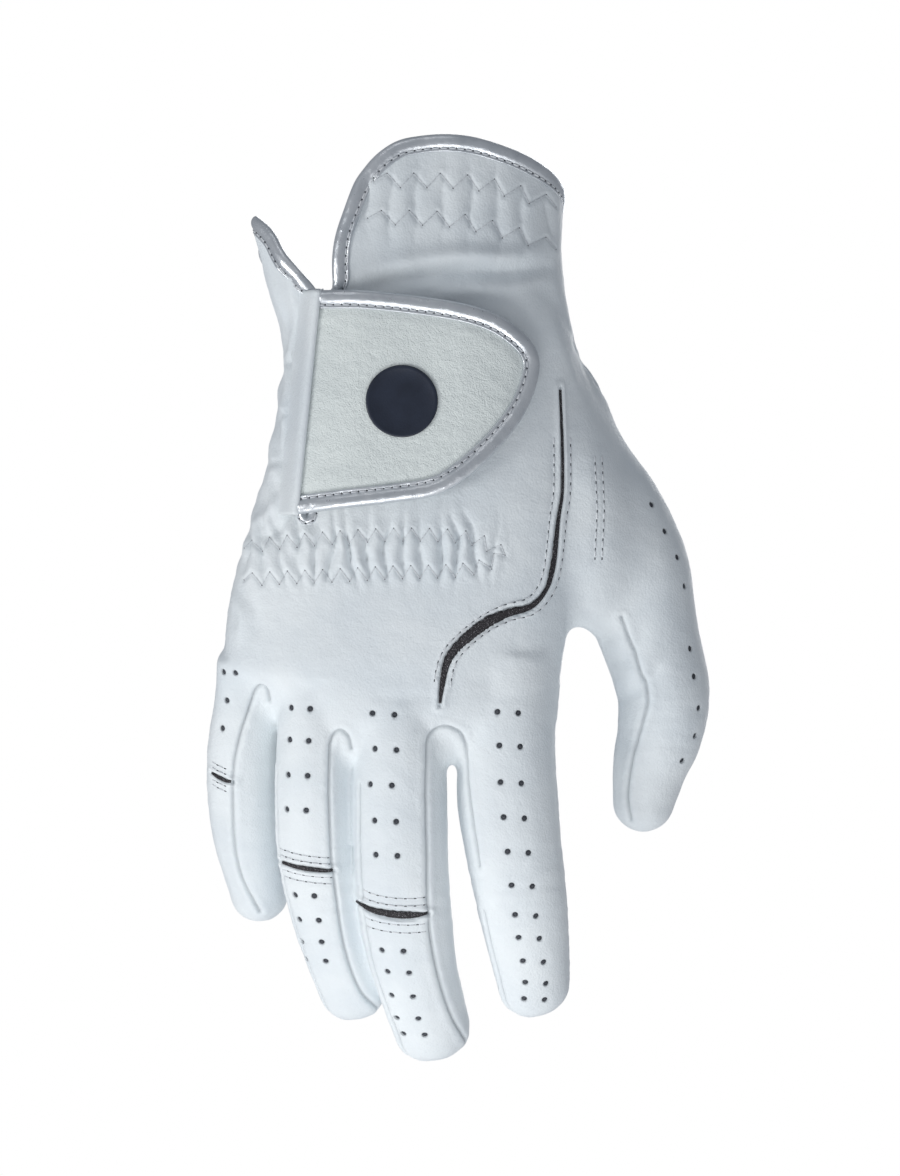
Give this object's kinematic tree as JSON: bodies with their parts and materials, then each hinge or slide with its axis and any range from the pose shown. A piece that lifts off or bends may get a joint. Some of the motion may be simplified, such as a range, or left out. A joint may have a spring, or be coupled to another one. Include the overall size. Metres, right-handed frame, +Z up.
{
  "type": "golf glove",
  "caption": "Right-hand golf glove of thin leather, open as when worn, with a slit cuff, a closure tab, stretch inserts and bending fingers.",
  "frame": {"origin": "centre of the wrist opening, at the level of the wrist side of the cuff", "axes": "+Z up out of the wrist opening, -Z along the fingers, -Y the back of the hand, +Y the palm, +X the thumb side"},
  "size_m": [0.1263, 0.0623, 0.2349],
  "materials": {
    "leather": "smooth matte hair-sheep leather, white with fine grain",
    "tab_leather": "grained matte synthetic leather, off-white",
    "silver_binding": "silver satin binding tape with a soft metallic sheen",
    "stretch_knit": "black stretch knit",
    "elastic": "white woven elastic",
    "hook_and_loop": "white nylon hooks and loops",
    "emblem_print": "navy heat-transfer film, satin"
  },
  "bodies": {
    "hand": {"back_elastic": "elastic", "back_panel": "leather", "cuff_binding": "silver_binding", "cuff_elastic": "elastic", "loop_patch": "hook_and_loop", "palm_panel": "leather", "stretch_insert": "stretch_knit", "thumb_back": "leather", "thumb_palm": "leather"},
    "fingers": {"finger_backs": "leather", "finger_palms": "leather", "middle_index_fourchette": "leather", "pinky_ring_fourchette": "leather", "ring_middle_fourchette": "leather", "stretch_insert_lower": "stretch_knit"},
    "index_tip": {"index_tip_back": "leather", "index_tip_little_side": "leather", "index_tip_palm": "leather"},
    "middle_tip": {"middle_flex_insert": "stretch_knit", "middle_tip_back": "leather", "middle_tip_little_side": "leather", "middle_tip_palm": "leather", "middle_tip_thumb_side": "leather"},
    "ring_tip": {"ring_flex_insert": "stretch_knit", "ring_tip_back": "leather", "ring_tip_little_side": "leather", "ring_tip_palm": "leather", "ring_tip_thumb_side": "leather"},
    "pinky_tip": {"pinky_flex_insert": "stretch_knit", "pinky_tip_back": "leather", "pinky_tip_palm": "leather", "pinky_tip_thumb_side": "leather"},
    "thumb_tip": {"thumb_tip_back": "leather", "thumb_tip_palm": "leather"},
    "tab": {"emblem": "emblem_print", "hook_patch": "hook_and_loop", "tab_binding": "silver_binding", "tab_leather": "tab_leather"}
  },
  "joints": [
    {"name": "knuckle_fold", "type": "hinge", "parent": "hand", "child": "fingers", "pos_m": [0, 0, -0.116], "axis": [1, 0, 0], "range_deg": [0, 45]},
    {"name": "index_bend", "type": "hinge", "parent": "fingers", "child": "index_tip", "pos_m": [0.02204, 0.00678, -0.1725], "axis": [0.9824, 0.0343, 0.1838], "range_deg": [0, 70]},
    {"name": "middle_bend", "type": "hinge", "parent": "fingers", "child": "middle_tip", "pos_m": [-0.00661, 0.00655, -0.1785], "axis": [0.9918, -0.1218, 0.0399], "range_deg": [0, 70]},
    {"name": "ring_bend", "type": "hinge", "parent": "fingers", "child": "ring_tip", "pos_m": [-0.02872, 0.00963, -0.1685], "axis": [0.9612, -0.2756, 0.008], "range_deg": [0, 70]},
    {"name": "pinky_bend", "type": "hinge", "parent": "fingers", "child": "pinky_tip", "pos_m": [-0.04749, 0.01323, -0.147], "axis": [0.7627, -0.5959, -0.2516], "range_deg": [0, 70]},
    {"name": "thumb_bend", "type": "hinge", "parent": "hand", "child": "thumb_tip", "pos_m": [0.05793, 0.01577, -0.13], "axis": [0.2049, 0.9641, 0.1689], "range_deg": [0, 35]},
    {"name": "tab_peel", "type": "hinge", "parent": "hand", "child": "tab", "pos_m": [-0.0273, -0.01756, -0.029], "axis": [-0.1015, 0, -0.9948], "range_deg": [0, 110]}
  ]
}
